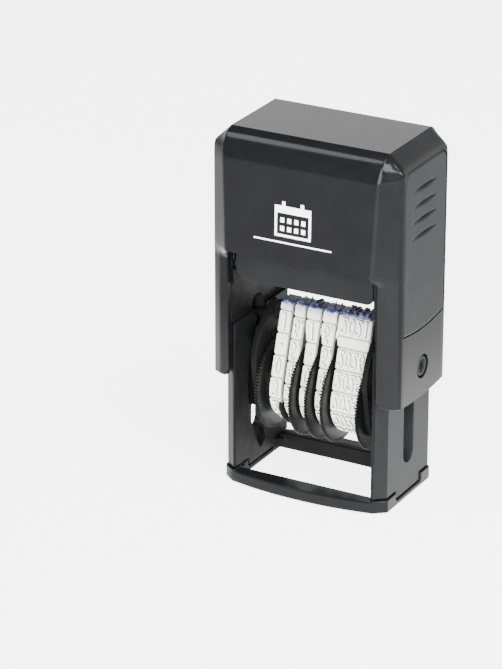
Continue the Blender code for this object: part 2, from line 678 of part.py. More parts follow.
# ---------------------------------------------------------------- date unit
def make_cheek(side, parent):
    """A side plate of the date unit with its guide pin and the holes for shaft and axle."""
    name = "left_cheek" if side < 0 else "right_cheek"
    circles = [(0.0, AXLE_Z - CHEEK_MIDDLE_DROP, CHEEK_RADIUS), (0.0, SHAFT_Z, BAND_OUTER_RADIUS),
               (0.0, NOSE_Z - BAND_THICKNESS, NOSE_RADIUS)]
    reach = sorted((side * CHEEK_INNER, side * CHEEK_OUTER))
    cheek = plate(name, [hull_outline(circles)], "YZ", *reach)
    pin = sorted((side * (CHEEK_OUTER - CHEEK_THICKNESS / 2), side * (INNER_HALF + CAM_GROOVE_DEPTH - GAP)))
    join(cheek, rod("guide_pin", CAM_PIN_RADIUS, *pin, 0.0, AXLE_Z + CAM_ARM, 20))
    past = sorted((side * (CHEEK_INNER - PAST), side * (CHEEK_OUTER + PAST)))
    for height in (AXLE_Z, SHAFT_Z):
        cut(cheek, rod("cheek_bore", SHAFT_RADIUS + RUN, *past, 0.0, height, 24))
    return finish(bake(cheek), MATTE_BLACK, parent)


def make_type_bridge(parent):
    """The bar that holds the bands' upper turn flat, under the type face."""
    inner_nose = NOSE_RADIUS - BAND_THICKNESS
    top = NOSE_Z + inner_nose - GAP
    half = TYPE_FACE_DEPTH / 2 + inner_nose - GAP
    foot = top - BRIDGE_HEIGHT
    outline = [(-half - BRIDGE_SPREAD, foot), (half + BRIDGE_SPREAD, foot), (half, top - BRIDGE_EDGE),
               (half - BRIDGE_EDGE, top), (BRIDGE_EDGE - half, top), (-half, top - BRIDGE_EDGE)]
    width = CHEEK_INNER - GAP
    return finish(plate("type_bridge", [outline], "YZ", -width, width), MATTE_BLACK, parent)


def make_wheel_shaft(parent):
    """The pin through the five wheels and both cheeks, with a head on its left end."""
    head = CHEEK_OUTER + GAP
    tip = head + SHAFT_HEAD
    head_radius = SHAFT_RADIUS + SHAFT_HEAD_LIP
    profile = [(0.0, tip), (SHAFT_RADIUS - SHAFT_TIP, tip), (SHAFT_RADIUS, tip - SHAFT_TIP),
               (SHAFT_RADIUS, -head), (head_radius, -head), (head_radius, -tip), (0.0, -tip)]
    return finish(turned("wheel_shaft", profile, False, SHAFT_Z, 24), SPRING_STEEL, parent)


def make_shaft_clip(parent):
    """The push-on clip on the shaft's right end, outside the right cheek."""
    start = CHEEK_OUTER + GAP / 2
    bore = SHAFT_RADIUS + CLIP_GRIP
    profile = [(CLIP_RADIUS, start + CLIP_THICKNESS), (CLIP_RADIUS, start), (bore, start),
               (bore, start + CLIP_THICKNESS)]
    return finish(turned("shaft_clip", profile, True, SHAFT_Z, 24), SPRING_STEEL, parent)


def make_band_separator(parent):
    """A thin finger on the shaft that stands between the first two bands at the front."""
    centre = (0.0, SHAFT_Z)
    blade = arc(centre, SEPARATOR_RADIUS, SEPARATOR_START, SEPARATOR_END, 8)
    hub = arc(centre, SEPARATOR_HUB_RADIUS, SEPARATOR_END, SEPARATOR_START + 360, 18)
    hole = arc(centre, SHAFT_RADIUS + RUN, 0, 345, 23)
    middle = wheel_places()[1][1][0] - GAP / 2
    faces = (middle - SEPARATOR_THICKNESS / 2, middle + SEPARATOR_THICKNESS / 2)
    return finish(plate("band_separator", [blade + hub, hole], "YZ", *faces), MATTE_BLACK, parent)


def make_axle_pin(side, parent):
    """A trunnion: stub in the cheek, collar, shank in the frame's slot, head in the cap's arm."""
    name = "left_axle_pin" if side < 0 else "right_axle_pin"
    collar = CHEEK_OUTER + GAP
    head = CAP_INNER_HALF + GAP
    end = CAP_HALF - AXLE_SETBACK
    profile = [(0.0, end - AXLE_EYE_DEPTH), (AXLE_EYE_RADIUS, end - AXLE_EYE_DEPTH), (AXLE_EYE_RADIUS, end),
               (AXLE_HEAD_RADIUS, end), (AXLE_HEAD_RADIUS, head), (AXLE_SHANK_RADIUS, head),
               (AXLE_SHANK_RADIUS, collar + AXLE_COLLAR), (AXLE_COLLAR_RADIUS, collar + AXLE_COLLAR),
               (AXLE_COLLAR_RADIUS, collar), (SHAFT_RADIUS, collar), (SHAFT_RADIUS, CHEEK_INNER + GAP),
               (0.0, CHEEK_INNER + GAP)]
    if side < 0:
        profile = [(radius, -along) for radius, along in reversed(profile)]
    return finish(turned(name, profile, False, AXLE_Z, 24), SATIN_BLACK, parent)


def wheel_places():
    """For each wheel: the two faces of its disc and of its drum, and the faces of its band."""
    places = []
    start = -WHEELS_WIDTH / 2
    for width, shoulder, wheel_width, on_left in zip(BAND_WIDTHS, SHOULDER_WIDTHS, wheel_widths,
                                                     DISC_ON_LEFT):
        end = start + wheel_width
        if on_left:
            disc = (start, start + DISC_THICKNESS)
            band_start = disc[1] + shoulder + BAND_PLAY
        else:
            disc = (end - DISC_THICKNESS, end)
            band_start = start + BAND_PLAY
        places.append((disc, (start, end), (band_start, band_start + width)))
        start = end + GAP
    return places


def make_wheel(number, disc, drum, parent):
    """A date wheel: the thin thumb disc and the drum that carries the band."""
    bore = SHAFT_RADIUS + RUN
    if disc[0] > drum[0] + DISC_THICKNESS / 2:
        profile = [(DISC_RADIUS, disc[1]), (DISC_RADIUS, disc[0]), (DRUM_RADIUS, disc[0]),
                   (DRUM_RADIUS, drum[0]), (bore, drum[0]), (bore, disc[1])]
    else:
        profile = [(DRUM_RADIUS, drum[1]), (DRUM_RADIUS, disc[1]), (DISC_RADIUS, disc[1]),
                   (DISC_RADIUS, disc[0]), (bore, disc[0]), (bore, drum[1])]
    return finish(turned(f"date_wheel_{number}", profile, True, SHAFT_Z), MATTE_BLACK, parent)


def band_outline(inset):
    """Side view of a band: round its wheel below, over the type bridge above."""
    half = TYPE_FACE_DEPTH / 2
    return hull_outline([(0.0, SHAFT_Z, BAND_OUTER_RADIUS - inset), (-half, NOSE_Z, NOSE_RADIUS - inset),
                         (half, NOSE_Z, NOSE_RADIUS - inset)])


def make_band(number, faces, parent):
    """A closed rubber band of date types."""
    loops = [band_outline(0.0), band_outline(BAND_THICKNESS)]
    return finish(plate(f"date_band_{number}", loops, "YZ", *faces), BAND_RUBBER, parent)


# ---------------------------------------------------------------- assembly
def main():
    """Build every piece; moving pieces hang on empties that stand on their joints."""
    cap_pivot = pivot("press_slide_pivot", (0.0, 0.0, CAP_TOP))
    tray_pivot = pivot("tray_slide_pivot", (0.0, 0.0, TRAY_Z))
    die_pivot = pivot("die_swivel_pivot", (0.0, 0.0, AXLE_Z))
    wheel_pivot = pivot("wheel_spin_pivot", (0.0, 0.0, SHAFT_Z))
    make_lower_frame()
    make_base_ring()
    make_ink_tray(tray_pivot)
    make_ink_felt(tray_pivot)
    make_return_spring()
    make_cap_shell(cap_pivot)
    make_type_bridge(die_pivot)
    make_wheel_shaft(die_pivot)
    make_shaft_clip(die_pivot)
    make_band_separator(die_pivot)
    for side in (-1, 1):
        make_grip_panel(side, cap_pivot)
        make_cheek(side, die_pivot)
        make_axle_pin(side, die_pivot)
    for number, (disc, drum, faces) in enumerate(wheel_places(), start=1):
        make_wheel(number, disc, drum, wheel_pivot)
        make_band(number, faces, die_pivot)


main()
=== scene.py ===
"""The self inking date stamp with its real surfaces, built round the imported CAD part.

All shapes are worked out in millimetres with numpy and written to the meshes in metres.
"""
import math

import bmesh
import bpy
import numpy as np
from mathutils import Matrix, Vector


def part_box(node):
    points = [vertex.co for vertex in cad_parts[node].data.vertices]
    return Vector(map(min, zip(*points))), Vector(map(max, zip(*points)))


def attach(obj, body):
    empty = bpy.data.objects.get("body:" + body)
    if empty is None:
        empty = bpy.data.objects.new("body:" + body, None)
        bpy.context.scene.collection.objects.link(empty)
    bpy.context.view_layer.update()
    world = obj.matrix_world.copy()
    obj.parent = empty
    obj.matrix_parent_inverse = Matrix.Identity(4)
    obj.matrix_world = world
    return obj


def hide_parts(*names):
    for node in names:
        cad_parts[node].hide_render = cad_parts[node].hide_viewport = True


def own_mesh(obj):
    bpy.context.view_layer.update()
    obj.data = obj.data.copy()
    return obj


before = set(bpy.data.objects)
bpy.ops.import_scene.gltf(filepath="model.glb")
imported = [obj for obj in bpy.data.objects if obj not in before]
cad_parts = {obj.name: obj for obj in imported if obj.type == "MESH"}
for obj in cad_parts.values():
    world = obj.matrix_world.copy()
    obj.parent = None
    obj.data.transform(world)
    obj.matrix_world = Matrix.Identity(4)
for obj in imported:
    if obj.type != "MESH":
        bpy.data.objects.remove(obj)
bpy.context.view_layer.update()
MM = 0.001

# ------------------------------------------------------------------ places on the stamp, in millimetres
AXLE_Z = 29.0
SHAFT_Z = 19.5
TYPE_Z = 38.4
SIDE_X = 21.0
ARM_INNER_X = 18.5
SIDE_CORNER_Y = 9.9
PANEL_Z = 51.2
PANEL_Y = 13.7
CREASE_Z = 70.7
CREASE_Y = 13.1
TOP_Z = 76.0
TOP_Y = 9.0
TOP_X = 17.4
FACET_Z = 72.6
ROOF_Z = 74.3
FLANGE_Y = 11.75
FLANGE_X = 16.45
FLANGE_BEND_X = 18.65
LIP_HALF = 15.7
ARM_Z = 23.4
ARM_BULGE = 0.9
GRIP_Z = 38.2
GRIP_TOP = 72.3
GRIP_HALF = 9.2
BANDS = ((-9.8, -7.05), (-6.55, -4.1), (-3.0, -0.55), (0.55, 3.0), (4.1, 10.9))
DISCS = ((-11.6, -11.0), (-4.0, -3.4), (-0.45, 0.15), (3.1, 3.7), (11.0, 11.6))
DRUMS = ((-11.6, -6.95), (-6.65, -3.4), (-3.1, 0.15), (0.45, 3.7), (4.0, 11.6))


# ------------------------------------------------------------------ helpers
def mix(a, b, share):
    """Straight blend from a to b."""
    return a + (b - a) * share


def ease(share):
    """Smooth blend curve 3t^2 - 2t^3, held flat outside 0 to 1."""
    t = np.clip(share, 0.0, 1.0)
    return t * t * (3 - 2 * t)


def grid_faces(rows, cols, close_rows=False, close_cols=False, start=0):
    """Quads between the points of a grid that is stored row after row."""
    r = np.arange(rows if close_rows else rows - 1)
    c = np.arange(cols if close_cols else cols - 1)
    r, c = np.meshgrid(r, c, indexing="ij")
    r2, c2 = (r + 1) % rows, (c + 1) % cols
    quads = np.stack([r * cols + c, r * cols + c2, r2 * cols + c2, r2 * cols + c], axis=-1)
    return quads.reshape(-1, 4) + start


def sheet(points, close_rows=False, close_cols=False):
    """A grid of points (rows, cols, 3) as vertices and quads."""
    rows, cols, _ = points.shape
    return points.reshape(-1, 3), grid_faces(rows, cols, close_rows, close_cols)


def piece(name, shells, material, body, nodes=(), sharp=32.0, merge=2e-6):
    """One mesh from shells of (vertices, quads): doubles merged, normals turned out, crisp edges kept."""
    verts, quads, start = [], [], 0
    for points, faces in shells:
        verts.append(np.asarray(points, float) * MM)
        quads.append(np.asarray(faces, int) + start)
        start += len(points)
    mesh = bpy.data.meshes.new(name)
    mesh.from_pydata(np.concatenate(verts).tolist(), [], np.concatenate(quads).tolist())
    return settle(name, mesh, material, body, nodes, sharp, merge)


def settle(name, mesh, material, body, nodes=(), sharp=32.0, merge=2e-6):
    """Clean a mesh, give it its finish and its body, and let it stand for its CAD nodes."""
    work = bmesh.new()
    work.from_mesh(mesh)
    bmesh.ops.remove_doubles(work, verts=work.verts[:], dist=merge)
    bmesh.ops.dissolve_degenerate(work, edges=work.edges[:], dist=merge)
    bmesh.ops.recalc_face_normals(work, faces=work.faces[:])
    work.to_mesh(mesh)
    work.free()
    mesh.shade_smooth()
    mesh.set_sharp_from_angle(angle=math.radians(sharp))
    mesh.materials.clear()
    mesh.materials.append(material)
    item = bpy.data.objects.new(name, mesh)
    bpy.context.scene.collection.objects.link(item)
    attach(item, body)
    if nodes:
        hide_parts(*nodes)
    return item


def softened(node, material, body, width, segments=2, angle=28.0, inside=None):
    """The CAD piece again as one welded mesh, with its crisp moulding edges rounded by a bevel.

    Faces within the given distances of the middle, in X and Y, get the darker matt plastic: painted shade on
    the inner walls.
    """
    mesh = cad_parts[node].data.copy()
    work = bmesh.new()
    work.from_mesh(mesh)
    bmesh.ops.remove_doubles(work, verts=work.verts[:], dist=2e-6)
    bmesh.ops.dissolve_limit(work, angle_limit=math.radians(0.6), verts=work.verts[:], edges=work.edges[:])
    bmesh.ops.triangulate(work, faces=[face for face in work.faces if len(face.verts) > 4])
    work.to_mesh(mesh)
    work.free()
    if "custom_normal" in mesh.attributes:
        mesh.attributes.remove(mesh.attributes["custom_normal"])
    item = settle(node + "_moulded", mesh, material, body, (node,), 40.0)
    # Painted shade: the inside faces take the darker matt plastic in place of the piece's own finish.
    if inside:
        item.data.materials.append(FINISH["matte_and_painted_shade"])
        middles = np.zeros(len(item.data.polygons) * 3)
        item.data.polygons.foreach_get("center", middles)
        middles = np.abs(middles.reshape(-1, 3)) / MM
        shaded_inside_faces = (middles[:, 0] < inside[0]) & (middles[:, 1] < inside[1])
        item.data.polygons.foreach_set("material_index", shaded_inside_faces.astype(np.int32))
    bevel = item.modifiers.new("rounded edges", "BEVEL")
    bevel.width = width * MM
    bevel.segments = segments
    bevel.limit_method = "ANGLE"
    bevel.angle_limit = math.radians(angle)
    bevel.use_clamp_overlap = False
    bevel.miter_outer = "MITER_ARC"
    bevel.harden_normals = True
    return item


def turned(profile, centre_z, steps=96):
    """A closed profile of (x, radius) turned round a line along X at the given height."""
    x, radius = np.asarray(profile, float).T
    angle = np.linspace(0, 2 * np.pi, steps, endpoint=False)[:, None]
    grid = np.stack([np.broadcast_to(x, (steps, len(x))), radius * np.cos(angle),
                     centre_z + radius * np.sin(angle)], axis=-1)
    return sheet(grid, close_rows=True, close_cols=True)


def prism(outline, low, high):
    """A closed outline of (y, z) given thickness along X, with fan caps to its middle."""
    flat = np.asarray(outline, float)
    rings = []
    for along, shrink in ((low, 0.0), (low, 1.0), (high, 1.0), (high, 0.0)):
        ring = mix(flat.mean(0), flat, shrink)
        rings.append(np.stack([np.full(len(flat), along), ring[:, 0], ring[:, 1]], axis=-1))
    return sheet(np.array(rings), close_cols=True)


def slab(front, back):
    """Two grids of the same size joined into one closed shell by a skirt round their borders."""
    rows, cols, _ = front.shape
    grid, faces = sheet(front)
    rear, rear_faces = sheet(back)
    count = rows * cols
    border = np.concatenate([np.arange(cols), np.arange(1, rows) * cols + cols - 1,
                             (rows - 1) * cols + np.arange(cols - 1)[::-1],
                             np.arange(1, rows - 1)[::-1] * cols])
    following = np.roll(border, -1)
    skirt = np.stack([border, following, following + count, border + count], -1)
    return np.concatenate([grid, rear]), np.concatenate([faces, rear_faces + count, skirt])


def tube(path, radius, sides=14):
    """A round bar: circles set square to a path of points, its ends closed to a point."""
    path = np.asarray(path, float)
    ahead = np.gradient(path, axis=0)
    ahead /= np.linalg.norm(ahead, axis=1, keepdims=True)
    across = np.cross(ahead, (0.0, 0.0, 1.0))
    across /= np.linalg.norm(across, axis=1, keepdims=True)
    up = np.cross(across, ahead)
    turn = np.linspace(0, 2 * np.pi, sides, endpoint=False)
    size = np.broadcast_to(np.asarray(radius, float), (len(path),))[:, None, None]
    ring = (path[:, None] + size * (np.cos(turn)[None, :, None] * across[:, None]
                                    + np.sin(turn)[None, :, None] * up[:, None]))
    return sheet(ring, close_cols=True)


# ------------------------------------------------------------------ finishes
def shader(name, colour, roughness, metallic=0.0):
    """A Principled material, and its node tree, output shader and Object coordinates."""
    material = bpy.data.materials.new(name)
    material.use_nodes = True
    tree = material.node_tree
    main = tree.nodes["Principled BSDF"]
    main.inputs["Base Color"].default_value = (*colour, 1.0)
    main.inputs["Roughness"].default_value = roughness
    main.inputs["Metallic"].default_value = metallic
    place = tree.nodes.new("ShaderNodeTexCoord")
    return material, tree, main, place


def noise(tree, place, scale, detail=3.0, rough=0.6):
    """A noise texture on Object coordinates; the scale is in features a metre."""
    texture = tree.nodes.new("ShaderNodeTexNoise")
    texture.inputs["Scale"].default_value = scale
    texture.inputs["Detail"].default_value = detail
    texture.inputs["Roughness"].default_value = rough
    tree.links.new(place.outputs["Object"], texture.inputs["Vector"])
    return texture


def ramp(tree, source, stops):
    """A colour ramp with the given (position, colour) stops."""
    node = tree.nodes.new("ShaderNodeValToRGB")
    for element, (position, colour) in zip(node.color_ramp.elements, (stops[0], stops[-1])):
        element.position = position
        element.color = (*colour, 1)
    for position, colour in stops[1:-1]:
        element = node.color_ramp.elements.new(position)
        element.color = (*colour, 1)
    tree.links.new(source, node.inputs["Fac"])
    return node


def bump(tree, main, source, height, strength):
    """Bump the surface by a texture: height in metres, strength from 0 to 1."""
    node = tree.nodes.new("ShaderNodeBump")
    node.inputs["Distance"].default_value = height
    node.inputs["Strength"].default_value = strength
    tree.links.new(source, node.inputs["Height"])
    tree.links.new(node.outputs["Normal"], main.inputs["Normal"])
    return node


def plastic(name, dark, light, gloss, dull, grain, grain_scale, grain_strength, shine=0.06):
    """Moulded plastic: cloudy colour between two tones, patchy gloss, and a fine grain in the surface."""
    material, tree, main, place = shader(name, dark, gloss)
    main.inputs["Specular IOR Level"].default_value = shine
    cloud = noise(tree, place, 160, 4)
    tone = ramp(tree, cloud.outputs["Fac"], ((0.35, dark), (0.68, light)))
    tree.links.new(tone.outputs["Color"], main.inputs["Base Color"])
    patch = noise(tree, place, 420, 5)
    polish = ramp(tree, patch.outputs["Fac"], ((0.3, (gloss,) * 3), (0.75, (dull,) * 3)))
    tree.links.new(polish.outputs["Color"], main.inputs["Roughness"])
    fine = noise(tree, place, grain_scale, 2)
    bump(tree, main, fine.outputs["Fac"], grain, grain_strength)
    return material


def make_finishes():
    """Every finish of the stamp by name."""
    made = {}
    made["cap"] = plastic("polished_black_plastic", (0.0040, 0.0041, 0.0043), (0.0052, 0.0053, 0.0056),
                          0.10, 0.16, 0.00001, 5200, 0.06, 0.085)
    made["grip"] = plastic("satin_grip_plastic", (0.0090, 0.0098, 0.0100), (0.0115, 0.0122, 0.0125),
                           0.27, 0.30, 0.00001, 6500, 0.03, 0.04)
    made["frame"] = plastic("satin_frame_plastic", (0.0075, 0.0079, 0.0082), (0.0098, 0.0101, 0.0104),
                            0.27, 0.30, 0.00001, 6000, 0.03, 0.03)
    made["foot"] = plastic("polished_foot_plastic", (0.0040, 0.0041, 0.0043), (0.0052, 0.0053, 0.0056),
                           0.12, 0.18, 0.00001, 5200, 0.10)
    made["wheel"] = plastic("knurled_black_plastic", (0.0028, 0.0029, 0.0031), (0.0042, 0.0042, 0.0044),
                            0.30, 0.40, 0.00001, 5000, 0.10, 0.12)
    # The matt plastic of the date unit, darkened; it is also painted shade on the inner walls of the frame and
    # the foot and on the cap's arm edges and lip.
    made["matte_and_painted_shade"] = plastic("matt_unit_plastic_and_painted_shade", (0.0026, 0.0027, 0.0029), (0.0046, 0.0046, 0.0046),
                            0.45, 0.58, 0.00003, 4200, 0.25, 0.04)
    made["mark"] = plastic("white_print", (0.80, 0.81, 0.82), (0.86, 0.86, 0.86), 0.45, 0.6,
                           0.00001, 5200, 0.1)

    material, tree, main, place = shader("cream_rubber", (0.86, 0.87, 0.82), 0.55)
    axes = tree.nodes.new("ShaderNodeSeparateXYZ")
    tree.links.new(place.outputs["Object"], axes.inputs["Vector"])
    blotch = noise(tree, place, 900, 4)
    edge = tree.nodes.new("ShaderNodeMath")
    edge.operation = "MULTIPLY_ADD"
    tree.links.new(blotch.outputs["Fac"], edge.inputs[0])
    edge.inputs[1].default_value = 0.0022
    tree.links.new(axes.outputs["Z"], edge.inputs[2])
    stain = tree.nodes.new("ShaderNodeMapRange")
    stain.inputs["From Min"].default_value = 0.0356
    stain.inputs["From Max"].default_value = 0.0400
    tree.links.new(edge.outputs["Value"], stain.inputs["Value"])
    ink = ramp(tree, stain.outputs["Result"],
               ((0.0, (0.86, 0.87, 0.82)), (0.30, (0.83, 0.84, 0.79)), (0.50, (0.60, 0.61, 0.58)),
                (0.66, (0.34, 0.37, 0.44)), (0.71, (0.03, 0.06, 0.26)), (0.77, (0.008, 0.011, 0.04))))
    # Painted shade: the painted_relief_shade attribute drives a grey ramp, multiplied into the ink colour,
    # that darkens the figures' flanks, the grooves between tiles and the band's edges, sides and inside, and
    # keeps the band face a little darker than the figures' tops.
    height = tree.nodes.new("ShaderNodeAttribute")
    height.attribute_name = "painted_relief_shade"
    painted_flank_shade = ramp(tree, height.outputs["Fac"], ((0.2, (0.16, 0.16, 0.14)), (0.78, (0.30, 0.30, 0.27)),
                                               (0.90, (0.66, 0.66, 0.62)), (0.97, (1.0, 1.0, 1.0))))
    painted_shade = tree.nodes.new("ShaderNodeMix")
    painted_shade.data_type = "RGBA"
    painted_shade.blend_type = "MULTIPLY"
    painted_shade.inputs["Factor"].default_value = 1.0
    tree.links.new(ink.outputs["Color"], painted_shade.inputs["A"])
    tree.links.new(painted_flank_shade.outputs["Color"], painted_shade.inputs["B"])
    tree.links.new(painted_shade.outputs["Result"], main.inputs["Base Color"])
    speck = noise(tree, place, 3600, 3)
    bump(tree, main, speck.outputs["Fac"], 0.00003, 0.22)
    made["rubber"] = material

    material, tree, main, place = shader("blue_inked_felt", (0.01, 0.02, 0.14), 0.85)
    fibre = noise(tree, place, 2600, 6, 0.75)
    tone = ramp(tree, fibre.outputs["Fac"], ((0.3, (0.006, 0.010, 0.07)), (0.7, (0.02, 0.05, 0.30))))
    tree.links.new(tone.outputs["Color"], main.inputs["Base Color"])
    bump(tree, main, fibre.outputs["Fac"], 0.0002, 0.6)
    main.inputs["Sheen Weight"].default_value = 0.3
    made["felt"] = material

    material, tree, main, place = shader("bright_spring_steel", (0.55, 0.55, 0.57), 0.28, 1.0)
    drawn = noise(tree, place, 2400, 4)
    tone = ramp(tree, drawn.outputs["Fac"], ((0.3, (0.46, 0.46, 0.48)), (0.7, (0.62, 0.62, 0.64))))
    tree.links.new(tone.outputs["Color"], main.inputs["Base Color"])
    bump(tree, main, drawn.outputs["Fac"], 0.00001, 0.2)
    made["steel"] = material
    return made


FINISH = make_finishes()


# ------------------------------------------------------------------ cap
def bend(start, corner, end, share):
    """A rounded corner: quadratic curve from start to end, pulled to the corner."""
    t = share
    return (1 - t) ** 2 * start + 2 * t * (1 - t) * corner + t * t * end


def cap_quarter(z, station, wall):
    """A quarter of the cap's plan at each height: front middle, chamfered corner, side middle.

    The plan is a polyline front - panel corner - bend - side corner - side. Each corner is a quadratic
    curve. Above the panel's lower edge the front leans in with height and then rolls over to the top;
    below it the corner draws back to the arm's flange. The wall moves every edge in for the inside.
    """
    roll = np.clip((z - CREASE_Z) / (TOP_Z - CREASE_Z), 0, 1)
    solve = roll
    for _ in range(8):
        height = 2 * solve * (1 - solve) * 0.88 + solve ** 2
        solve = np.clip(solve - (height - roll) / (1.76 - 1.52 * solve), 0, 1)
    front = mix(PANEL_Y, CREASE_Y, np.clip((z - PANEL_Z) / (CREASE_Z - PANEL_Z), 0, 1))
    front = np.where(z > CREASE_Z, (1 - solve) ** 2 * CREASE_Y + 2 * solve * (1 - solve) * 11.9
                     + solve ** 2 * TOP_Y, front)
    over = z - FACET_Z
    facet = (SIDE_X - TOP_X) / (TOP_Z - FACET_Z)
    half = SIDE_X - facet * 0.5 * (over + np.sqrt(over ** 2 + 0.10))
    inside = np.maximum(front - wall[0], np.minimum(11.65, front - 0.45))
    front, half = np.where(wall[0] > 0, inside, front), half - wall[1]
    climb = np.clip((z - CREASE_Z) / (TOP_Z - CREASE_Z), 0, 1)
    side_y = np.minimum(SIDE_CORNER_Y - wall[2] - 0.9 * climb, front - 0.03)
    corner_x = SIDE_X - wall[1] - (np.maximum(front, CREASE_Y - wall[0]) - (SIDE_CORNER_Y - wall[2])) * 1.28
    corner_x = np.minimum(corner_x + 0.5 * climb, half - 0.03)
    corner_y = front
    slope_x = np.clip(FLANGE_BEND_X - wall[3], mix(corner_x, half, 0.35), mix(corner_x, half, 0.65))
    slope_y = mix(corner_y, side_y, (slope_x - corner_x) / (half - corner_x))
    low = ease((PANEL_Z + 0.2 - z) / 2.6)
    arm_y = FLANGE_Y - wall[4]
    corner_x, corner_y = mix(corner_x, FLANGE_X + 0.15, low), mix(corner_y, arm_y, low)
    slope_x = mix(slope_x, FLANGE_BEND_X - wall[3], low)
    slope_y = mix(slope_y, mix(arm_y, side_y, wall[5]), low)
    a = np.stack([np.zeros_like(z), front], -1)
    b = np.stack([corner_x, corner_y], -1)
    e = np.stack([slope_x, slope_y], -1)
    c = np.stack([half, side_y], -1)
    d = np.stack([half, np.zeros_like(z)], -1)
    first = np.linalg.norm(e - b, axis=-1, keepdims=True)
    second = np.linalg.norm(c - e, axis=-1, keepdims=True)
    to_e, to_c = (e - b) / first, (c - e) / second
    calm = (1 - 0.75 * climb)[..., None]
    round_b = np.minimum(0.55 * calm, 0.45 * first)
    round_e = np.minimum(0.5 * calm, 0.4 * np.minimum(first, second))
    round_c = np.minimum(0.8 * calm, 0.45 * second)
    flat_b = b - round_b * np.array([1.0, 0.0])
    flat_c = c - round_c * np.array([0.0, 1.0])
    s = station[..., None]
    plan = np.where(s < 1, mix(a, flat_b, s), 0)
    plan = np.where((s >= 1) & (s < 2), bend(flat_b, b, b + to_e * round_b, s - 1), plan)
    plan = np.where((s >= 2) & (s < 3), mix(b + to_e * round_b, e - to_e * round_e, s - 2), plan)
    plan = np.where((s >= 3) & (s < 4), bend(e - to_e * round_e, e, e + to_c * round_e, s - 3), plan)
    plan = np.where((s >= 4) & (s < 5), mix(e + to_c * round_e, c - to_c * round_c, s - 4), plan)
    plan = np.where((s >= 5) & (s < 6), bend(c - to_c * round_c, c, flat_c, s - 5), plan)
    plan = np.where(s >= 6, mix(flat_c, d, s - 6), plan)
    return plan


CAP_STATIONS = np.concatenate([
    np.linspace(0, 1, 10)[:-1], 1 + np.array([0, .12, .24, .34, .44, .5, .56, .66, .8]),
    2 + np.array([0, .25, .5, .75]),
    3 + np.linspace(0, 1, 5)[:-1], 4 + np.array([0, .3, .6, .85]), 5 + np.linspace(0, 1, 7)[:-1],
    6 + np.linspace(0, 1, 9)])


def cap_lower_edge(station, across):
    """Height of the cap's lower edge at each station: the panel's straight edge, a small fillet, the arm."""
    panel = PANEL_Z - 1.3 * ease((station - 1.2) / 0.26) ** 2
    arm = ARM_Z - ARM_BULGE * (1 - (across / FLANGE_Y) ** 2)
    arm = arm + 1.3 * (1 - ease((station - 1.5) / 0.9))
    return np.where(station < 1.47, panel, arm)


def cap_surface():
    """The whole cap as one closed grid: every column runs from the middle of the ceiling down the inside,
    round the lower edge, up the outside, over the roll and on to the middle of the top."""
    columns = CAP_STATIONS
    wall_z = np.concatenate([np.linspace(21.8, 27, 9), np.linspace(28, 45, 14), np.linspace(46, PANEL_Z, 20),
                             np.linspace(PANEL_Z + 0.5, CREASE_Z, 14)])
    roll_z = CREASE_Z + (TOP_Z - CREASE_Z) * (1 - (1 - np.linspace(0, 1, 15)[1:]) ** 1.8)
    outer_wall = (0.0, 0.0, 0.0, 0.0, 0.0, 0.18)
    inner_wall = (1.5, 2.5, 0.45, 1.1, 0.8, 0.5)
    s = np.broadcast_to(columns, (len(wall_z), len(columns)))
    rest = cap_quarter(np.full(len(columns), 30.0), columns, outer_wall)
    low = cap_lower_edge(columns, rest[:, 1])
    z_out = np.maximum(wall_z[:, None], low[None] + 0.14)
    outer = cap_quarter(z_out, s, outer_wall)
    in_low = np.where(columns < 1.47, PANEL_Z, low)
    upper_z = (71.3, 71.9, 72.3, 72.8, 73.4, 74.0)
    z_in = np.maximum(np.concatenate([wall_z, upper_z])[:, None], in_low[None] + 0.25)
    beside_arm = (columns > 1.2) & (columns < 1.47) & (z_in <= in_low + 0.2501)
    inner = cap_quarter(np.where(beside_arm, 48.0, z_in), np.broadcast_to(columns, z_in.shape), inner_wall)
    roll = cap_quarter(np.broadcast_to(roll_z[:, None], (len(roll_z), len(columns))),
                       np.broadcast_to(columns, (len(roll_z), len(columns))), outer_wall)
    ceiling = cap_quarter(np.full(len(columns), ROOF_Z), columns, inner_wall)
    rim_plan = mix(outer[0], inner[0], 0.06)
    rim_in = mix(outer[0], inner[0], 0.9)

    def rows(plan, z):
        return np.concatenate([plan, np.broadcast_to(z, plan.shape[:-1])[..., None]], -1)

    stack = [rows(ceiling[None] * k, np.full((1, len(columns)), ROOF_Z)) for k in (0.0, 0.35, 0.7, 1.0)]
    stack += [rows(inner[::-1], z_in[::-1]), rows(rim_in[None], in_low[None]), rows(rim_plan[None], low[None]),
              rows(outer, z_out), rows(roll, roll_z[:, None])]
    stack += [rows(roll[-1][None] * k, np.full((1, len(columns)), TOP_Z)) for k in (0.985, 0.9, 0.6, 0.3, 0.0)]
    quarter = np.concatenate(stack, 0)
    around = []
    for mirror_x, mirror_y, backward in ((1, -1, False), (1, 1, True), (-1, 1, False), (-1, -1, True)):
        part = quarter * np.array([mirror_x, mirror_y, 1.0])
        part = part[:, ::-1] if backward else part
        around.append(part[:, :-1])
    return sheet(np.concatenate(around, 1), close_cols=True)


def grip_border(across, inset):
    """Lower and upper edge of a grip panel: the lower bulges down, the upper has round corners."""
    low = GRIP_Z + inset - ARM_BULGE * (1 - (across / GRIP_HALF) ** 2)
    past = np.clip(np.abs(across) - (GRIP_HALF - inset - 2.3), 0, 2.3)
    high = GRIP_TOP - inset - (2.3 - np.sqrt(2.3 ** 2 - past ** 2))
    return low, high


